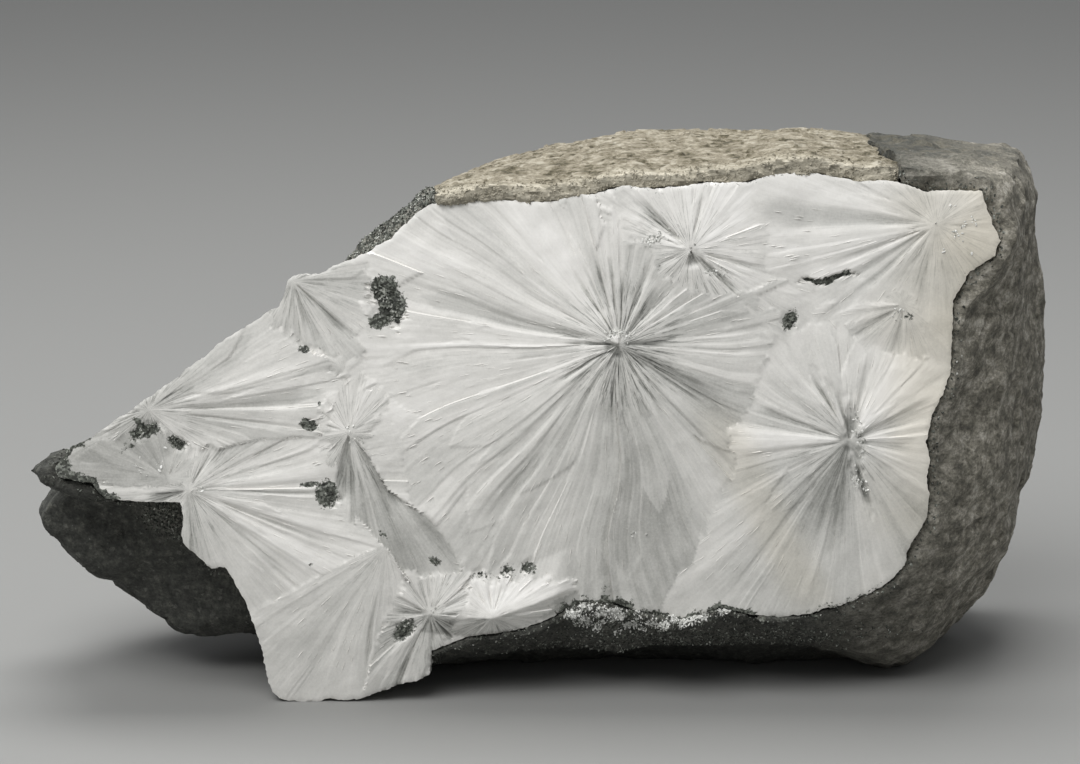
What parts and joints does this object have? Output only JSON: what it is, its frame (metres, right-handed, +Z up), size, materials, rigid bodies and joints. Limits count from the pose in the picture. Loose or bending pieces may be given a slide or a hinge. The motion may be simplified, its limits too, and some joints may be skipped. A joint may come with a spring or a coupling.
{
  "type": "pectolite on basalt specimen",
  "caption": "Loose hand specimen: a white vein face of radiating pectolite sprays on a broken block of dark basalt with a tan weathered top, resting on its flat foot.",
  "frame": {"origin": "middle of the specimen's footprint, on the surface it rests on", "axes": "+X to the right along its length, -Y out of the white face, +Z up"},
  "size_m": [0.1605, 0.0582, 0.085],
  "materials": {
    "basalt": "broken, matt, fine grained",
    "pectolite": "silky fibrous, slightly translucent",
    "weathered_rind": "weathered, matt, granular"
  },
  "bodies": {
    "root": {"basalt_matrix": "basalt", "pectolite_vein": "pectolite", "weathered_crust": "weathered_rind", "basalt_chip_corner": "basalt", "basalt_chip_left_tip": "basalt", "basalt_chip_left_small": "basalt", "basalt_chip_left_middle": "basalt", "basalt_chip_left_upper": "basalt", "basalt_chip_low_left": "basalt", "basalt_chip_low_1": "basalt", "basalt_chip_low_2": "basalt", "basalt_chip_low_3": "basalt", "basalt_chip_right": "basalt"}
  },
  "joints": []
}
